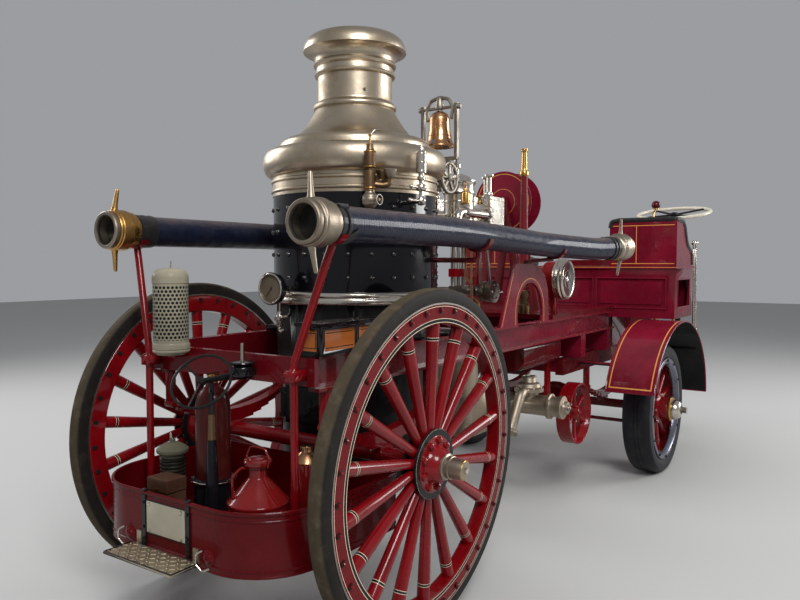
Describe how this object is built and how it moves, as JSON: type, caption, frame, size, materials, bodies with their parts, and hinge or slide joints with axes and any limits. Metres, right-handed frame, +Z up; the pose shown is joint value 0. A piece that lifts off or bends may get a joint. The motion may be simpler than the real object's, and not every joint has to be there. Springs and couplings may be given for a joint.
{
  "type": "steam fire engine with motor tractor",
  "caption": "Steam pumping fire engine on tall wooden wheels, joined to a driven and steered front tractor with seats and hood.",
  "frame": {"origin": "on the floor under the middle of the overall length and width", "axes": "+X forward, +Y left, +Z up"},
  "size_m": [6.29, 2.214, 2.905],
  "materials": {
    "red_wood": "gloss red coach enamel with fine lines",
    "red_paint": "gloss red enamel",
    "dark_red": "older dark red enamel",
    "rubber_grey": "dusty solid rubber",
    "rubber_black": "black solid rubber",
    "nickel": "warm worn nickel plate",
    "brass": "polished brass",
    "black_iron": "black painted iron",
    "grey_iron": "bare grey iron",
    "cream_iron": "aged aluminium-grey paint",
    "jacket_black": "gloss black sheet with rivets",
    "hose_black": "black wound rubber hose",
    "bright_plate": "chequered bright plate",
    "leather": "black leather",
    "wood_cream": "pale wheel rim",
    "black_box": "black lacquer with orange panels",
    "stores_green": "dull green and tin"
  },
  "bodies": {
    "chassis": {"rear_axle": "dark_red", "springs": "dark_red", "frame_rails": "red_paint", "cross_members": "red_paint", "firebox": "black_iron", "boiler_jacket": "jacket_black", "boiler_dome": "nickel", "boiler_fittings": "nickel", "rear_tub": "red_paint", "rear_step": "bright_plate", "rear_posts": "red_paint", "suction_hoses": "hose_black", "couplings_right": "nickel", "couplings_left": "brass", "hose_saddles": "dark_red", "tub_cans": "red_paint", "lantern_and_box": "stores_green", "strainer": "cream_iron", "brake_wheel": "black_iron", "tool_box": "black_box", "pump": "cream_iron", "engine_frame": "grey_iron", "steam_cylinders": "nickel", "suction_inlet": "cream_iron", "feed_tank": "dark_red", "relief_wheel": "red_wood", "deck": "dark_red", "play_pipe": "dark_red", "lamp": "red_paint", "tractor_rails": "dark_red", "front_axle": "dark_red", "motor": "grey_iron", "tractor_body": "red_paint", "tractor_floor": "dark_red", "seat_backs": "red_paint", "seat_cushions": "leather", "fenders": "red_paint", "hood": "red_paint", "radiator": "nickel", "headlamps": "nickel", "driver_controls": "nickel"},
    "rear_right": {"rear_wheel_right": "red_wood", "rear_tyre_right": "rubber_grey"},
    "rear_left": {"rear_wheel_left": "red_wood", "rear_tyre_left": "rubber_grey"},
    "knuckle_r": {"knuckle_right": "dark_red"},
    "knuckle_l": {"knuckle_left": "dark_red"},
    "front_right": {"front_wheel_right": "red_wood", "front_tyre_right": "rubber_black"},
    "front_left": {"front_wheel_left": "red_wood", "front_tyre_left": "rubber_black"},
    "tie": {"tie_rod": "dark_red"},
    "helm": {"steering_wheel": "wood_cream"},
    "bell_body": {"bell": "brass"},
    "reel": {"hose_reel": "dark_red"},
    "door": {"fire_door": "black_iron"}
  },
  "joints": [
    {"name": "rear_right_spin", "type": "hinge", "parent": "chassis", "child": "rear_right", "pos_m": [-2.155, -0.757, 0.78717], "axis": [0, 0.9992, 0.0401], "continuous": true},
    {"name": "rear_left_spin", "type": "hinge", "parent": "chassis", "child": "rear_left", "pos_m": [-2.155, 0.757, 0.78717], "axis": [0, 0.9992, -0.0401], "continuous": true},
    {"name": "steer_left", "type": "hinge", "parent": "chassis", "child": "knuckle_l", "pos_m": [1.155, 0.707, 0.515], "axis": [0, 0, 1], "range_deg": [-28, 28]},
    {"name": "steer_right", "type": "hinge", "parent": "chassis", "child": "knuckle_r", "pos_m": [1.155, -0.707, 0.515], "axis": [0, 0, 1], "range_deg": [-28, 28]},
    {"name": "front_left_spin", "type": "hinge", "parent": "knuckle_l", "child": "front_left", "pos_m": [1.155, 0.847, 0.515], "axis": [0, 1, 0], "continuous": true},
    {"name": "front_right_spin", "type": "hinge", "parent": "knuckle_r", "child": "front_right", "pos_m": [1.155, -0.847, 0.515], "axis": [0, 1, 0], "continuous": true},
    {"name": "tie_hinge", "type": "hinge", "parent": "knuckle_l", "child": "tie", "pos_m": [0.975, 0.707, 0.4], "axis": [0, 0, 1], "range_deg": [-28, 28]},
    {"name": "steering_turn", "type": "hinge", "parent": "chassis", "child": "helm", "pos_m": [1.945, -0.78, 2.13], "axis": [-0.2079, 0, 0.9781], "range_deg": [-340, 340]},
    {"name": "bell_swing", "type": "hinge", "parent": "chassis", "child": "bell_body", "pos_m": [-1.145, -0.2, 2.6], "axis": [0, 1, 0], "range_deg": [-35, 35]},
    {"name": "reel_turn", "type": "hinge", "parent": "chassis", "child": "reel", "pos_m": [0.185, 0, 2.14], "axis": [1, 0, 0], "continuous": true},
    {"name": "fire_door_swing", "type": "hinge", "parent": "chassis", "child": "door", "pos_m": [-2.147, 0.14, 0.965], "axis": [0, 0, 1], "range_deg": [-110, 0]}
  ],
  "couplings": [
    {"joint": "steer_right", "follows": "steer_left", "ratio": 1},
    {"joint": "tie_hinge", "follows": "steer_left", "ratio": -1},
    {"joint": "steering_turn", "follows": "steer_left", "ratio": 12}
  ]
}
